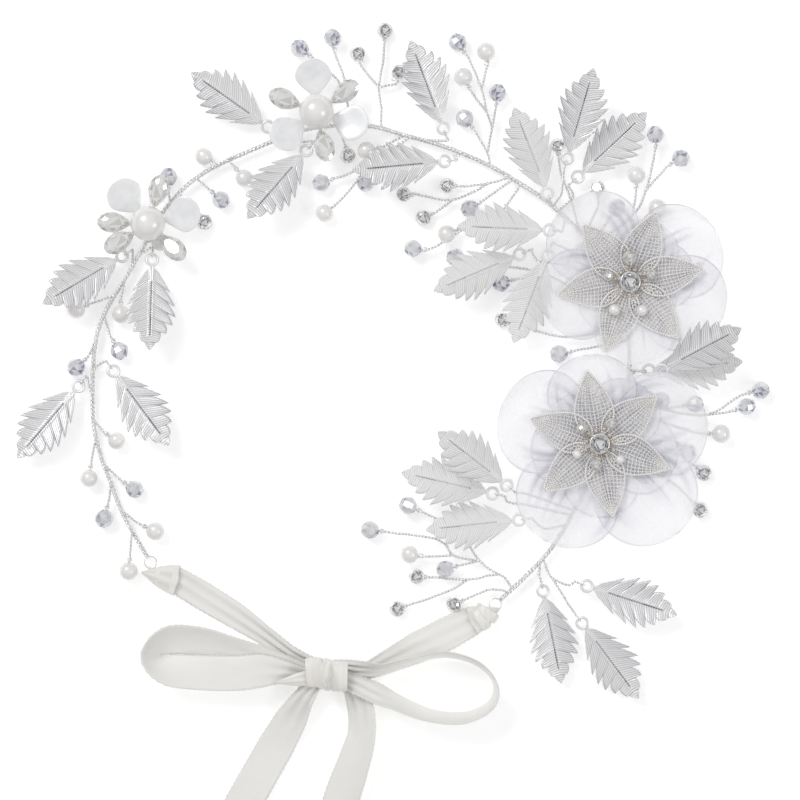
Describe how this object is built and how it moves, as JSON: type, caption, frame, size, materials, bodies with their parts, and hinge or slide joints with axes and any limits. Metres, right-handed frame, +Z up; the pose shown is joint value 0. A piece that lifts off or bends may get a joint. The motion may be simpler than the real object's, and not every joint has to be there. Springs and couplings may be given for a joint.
{
  "type": "flower crown",
  "caption": "Flower crown: an open ring of wound wire with stamped leaves, beads, fabric and filigree flowers, closed at the back by two ribbons tied in a bow.",
  "frame": {"origin": "on the surface that the crown lies on, under the middle of the crown's outline without its ribbons", "axes": "+Z up from the surface that the crown lies on, -Y towards the open side of the ring where the ribbons are tied, +X towards the two large flowers"},
  "size_m": [0.21, 0.2732, 0.0192],
  "materials": {
    "silver_wire": "bright silver-coloured craft wire, wound in pairs",
    "silver_leaf": "stamped sheet, bright silver colour, fine ribs",
    "ivory_pearl": "ivory imitation pearl, soft lustre",
    "lavender_crystal": "faceted pale lavender glass",
    "clear_stone": "faceted clear stone with a silvered back",
    "champagne_drop": "faceted clear drop with a faint champagne tint",
    "white_shell": "translucent bluish white shell-like petal",
    "white_organza": "sheer white organza with a faint lavender cast",
    "white_felt": "white felt pad",
    "ivory_satin": "ivory satin ribbon with a looped edge"
  },
  "bodies": {
    "root": {"bow_knot": "ivory_satin", "left_centre_pearl": "ivory_pearl", "left_crystal_petal_1": "champagne_drop", "left_crystal_petal_2": "champagne_drop", "left_crystal_petal_3": "champagne_drop", "left_crystal_petal_4": "champagne_drop", "left_ribbon": "ivory_satin", "left_ribbon_knot": "ivory_satin", "left_shell_petal_1": "white_shell", "left_shell_petal_2": "white_shell", "lower_centre_stone": "clear_stone", "lower_filigree_flower": "silver_wire", "lower_flower_backing": "white_felt", "lower_organza_petals": "white_organza", "right_ribbon": "ivory_satin", "right_ribbon_knot": "ivory_satin", "spray_between_flowers": "silver_wire", "spray_flower_twig": "silver_wire", "spray_inner": "silver_wire", "spray_inner_behind": "silver_wire", "spray_left_end": "silver_wire", "spray_left_side": "silver_wire", "spray_lower_left": "silver_wire", "spray_right": "silver_wire", "spray_top": "silver_wire", "spray_upper_outer": "silver_wire", "top_centre_pearl": "ivory_pearl", "top_crystal_petal_1": "champagne_drop", "top_crystal_petal_2": "champagne_drop", "top_crystal_petal_3": "champagne_drop", "top_shell_petal_1": "white_shell", "top_shell_petal_2": "white_shell", "top_shell_petal_3": "white_shell", "upper_centre_stone": "clear_stone", "upper_filigree_flower": "silver_wire", "upper_flower_backing": "white_felt", "upper_organza_petals": "white_organza", "vine_wire": "silver_wire"},
    "leaf_01": {"leaf_01": "silver_leaf"},
    "leaf_02": {"leaf_02": "silver_leaf"},
    "leaf_03": {"leaf_03": "silver_leaf"},
    "leaf_04": {"leaf_04": "silver_leaf"},
    "leaf_05": {"leaf_05": "silver_leaf"},
    "leaf_06": {"leaf_06": "silver_leaf"},
    "leaf_07": {"leaf_07": "silver_leaf"},
    "leaf_08": {"leaf_08": "silver_leaf"},
    "leaf_09": {"leaf_09": "silver_leaf"},
    "leaf_10": {"leaf_10": "silver_leaf"},
    "leaf_11": {"leaf_11": "silver_leaf"},
    "leaf_12": {"leaf_12": "silver_leaf"},
    "leaf_13": {"leaf_13": "silver_leaf"},
    "leaf_14": {"leaf_14": "silver_leaf"},
    "leaf_15": {"leaf_15": "silver_leaf"},
    "leaf_16": {"leaf_16": "silver_leaf"},
    "leaf_17": {"leaf_17": "silver_leaf"},
    "leaf_18": {"leaf_18": "silver_leaf"},
    "leaf_19": {"leaf_19": "silver_leaf"},
    "leaf_20": {"leaf_20": "silver_leaf"},
    "leaf_21": {"leaf_21": "silver_leaf"},
    "leaf_22": {"leaf_22": "silver_leaf"}
  },
  "joints": [
    {"name": "leaf_01_hinge", "type": "hinge", "parent": "root", "child": "leaf_01", "pos_m": [-0.03394, 0.0643, 0.003], "axis": [0.5878, 0.7973, 0.1371], "range_deg": [0, 30]},
    {"name": "leaf_02_hinge", "type": "hinge", "parent": "root", "child": "leaf_02", "pos_m": [-0.02347, 0.05953, 0.0034], "axis": [-0.7852, 0.5964, -0.1669], "range_deg": [0, 20]},
    {"name": "leaf_03_hinge", "type": "hinge", "parent": "root", "child": "leaf_03", "pos_m": [-0.07462, 0.02977, 0.0026], "axis": [-0.5454, 0.8319, -0.1022], "range_deg": [0, 35]},
    {"name": "leaf_04_hinge", "type": "hinge", "parent": "root", "child": "leaf_04", "pos_m": [-0.06743, 0.02946, 0.003], "axis": [-0.9939, 0.0426, 0.1014], "range_deg": [0, 35]},
    {"name": "leaf_05_hinge", "type": "hinge", "parent": "root", "child": "leaf_05", "pos_m": [-0.08704, -0.00617, 0.0032], "axis": [-0.7648, 0.6291, -0.1388], "range_deg": [0, 35]},
    {"name": "leaf_06_hinge", "type": "hinge", "parent": "root", "child": "leaf_06", "pos_m": [-0.07917, -0.00189, 0.0032], "axis": [-0.8025, -0.5805, 0.1378], "range_deg": [0, 35]},
    {"name": "leaf_07_hinge", "type": "hinge", "parent": "root", "child": "leaf_07", "pos_m": [0.0143, 0.06325, 0.0036], "axis": [0.8908, 0.3869, -0.2382], "range_deg": [0, 35]},
    {"name": "leaf_08_hinge", "type": "hinge", "parent": "root", "child": "leaf_08", "pos_m": [0.01565, 0.05541, 0.0066], "axis": [-0.0823, 0.9913, 0.1022], "range_deg": [0, 35]},
    {"name": "leaf_09_hinge", "type": "hinge", "parent": "root", "child": "leaf_09", "pos_m": [0.04338, 0.04512, 0.0043], "axis": [0.931, 0.3245, 0.1669], "range_deg": [0, 35]},
    {"name": "leaf_10_hinge", "type": "hinge", "parent": "root", "child": "leaf_10", "pos_m": [0.04788, 0.05463, 0.0074], "axis": [0.962, -0.2532, -0.1022], "range_deg": [0, 35]},
    {"name": "leaf_11_hinge", "type": "hinge", "parent": "root", "child": "leaf_11", "pos_m": [0.05026, 0.05004, 0.0036], "axis": [0.686, -0.7143, -0.1384], "range_deg": [0, 12]},
    {"name": "leaf_12_hinge", "type": "hinge", "parent": "root", "child": "leaf_12", "pos_m": [0.04479, 0.03603, 0.007], "axis": [0.0203, 0.9975, -0.0682], "range_deg": [0, 25]},
    {"name": "leaf_13_hinge", "type": "hinge", "parent": "root", "child": "leaf_13", "pos_m": [0.03654, 0.02999, 0.0062], "axis": [-0.378, 0.9153, 0.1388], "range_deg": [0, 18]},
    {"name": "leaf_14_hinge", "type": "hinge", "parent": "root", "child": "leaf_14", "pos_m": [0.04339, 0.0306, 0.0058], "axis": [-0.9313, 0.3575, 0.0698], "range_deg": [0, 6]},
    {"name": "leaf_15_hinge", "type": "hinge", "parent": "root", "child": "leaf_15", "pos_m": [0.07344, -0.00361, 0.006], "axis": [0.5217, -0.843, -0.1308], "range_deg": [0, 25]},
    {"name": "leaf_16_hinge", "type": "hinge", "parent": "root", "child": "leaf_16", "pos_m": [0.06968, -0.00298, 0.003], "axis": [0.0794, -0.9914, 0.1043], "range_deg": [0, 12]},
    {"name": "leaf_17_hinge", "type": "hinge", "parent": "root", "child": "leaf_17", "pos_m": [0.02899, -0.03753, 0.0066], "axis": [0.2149, 0.9742, -0.0691], "range_deg": [0, 18]},
    {"name": "leaf_18_hinge", "type": "hinge", "parent": "root", "child": "leaf_18", "pos_m": [0.0325, -0.03576, 0.0086], "axis": [0.6431, 0.7596, 0.0969], "range_deg": [0, 35]},
    {"name": "leaf_19_hinge", "type": "hinge", "parent": "root", "child": "leaf_19", "pos_m": [0.03645, -0.04446, 0.0034], "axis": [-0.1127, 0.9912, -0.0692], "range_deg": [0, 8]},
    {"name": "leaf_20_hinge", "type": "hinge", "parent": "root", "child": "leaf_20", "pos_m": [0.04134, -0.06298, 0.0034], "axis": [-0.9602, -0.1866, 0.2079], "range_deg": [0, 35]},
    {"name": "leaf_21_hinge", "type": "hinge", "parent": "root", "child": "leaf_21", "pos_m": [0.0517, -0.07223, 0.0032], "axis": [-0.7909, -0.596, -0.1392], "range_deg": [0, 35]},
    {"name": "leaf_22_hinge", "type": "hinge", "parent": "root", "child": "leaf_22", "pos_m": [0.05245, -0.06263, 0.0034], "axis": [-0.3125, -0.9442, 0.1044], "range_deg": [0, 35]}
  ]
}
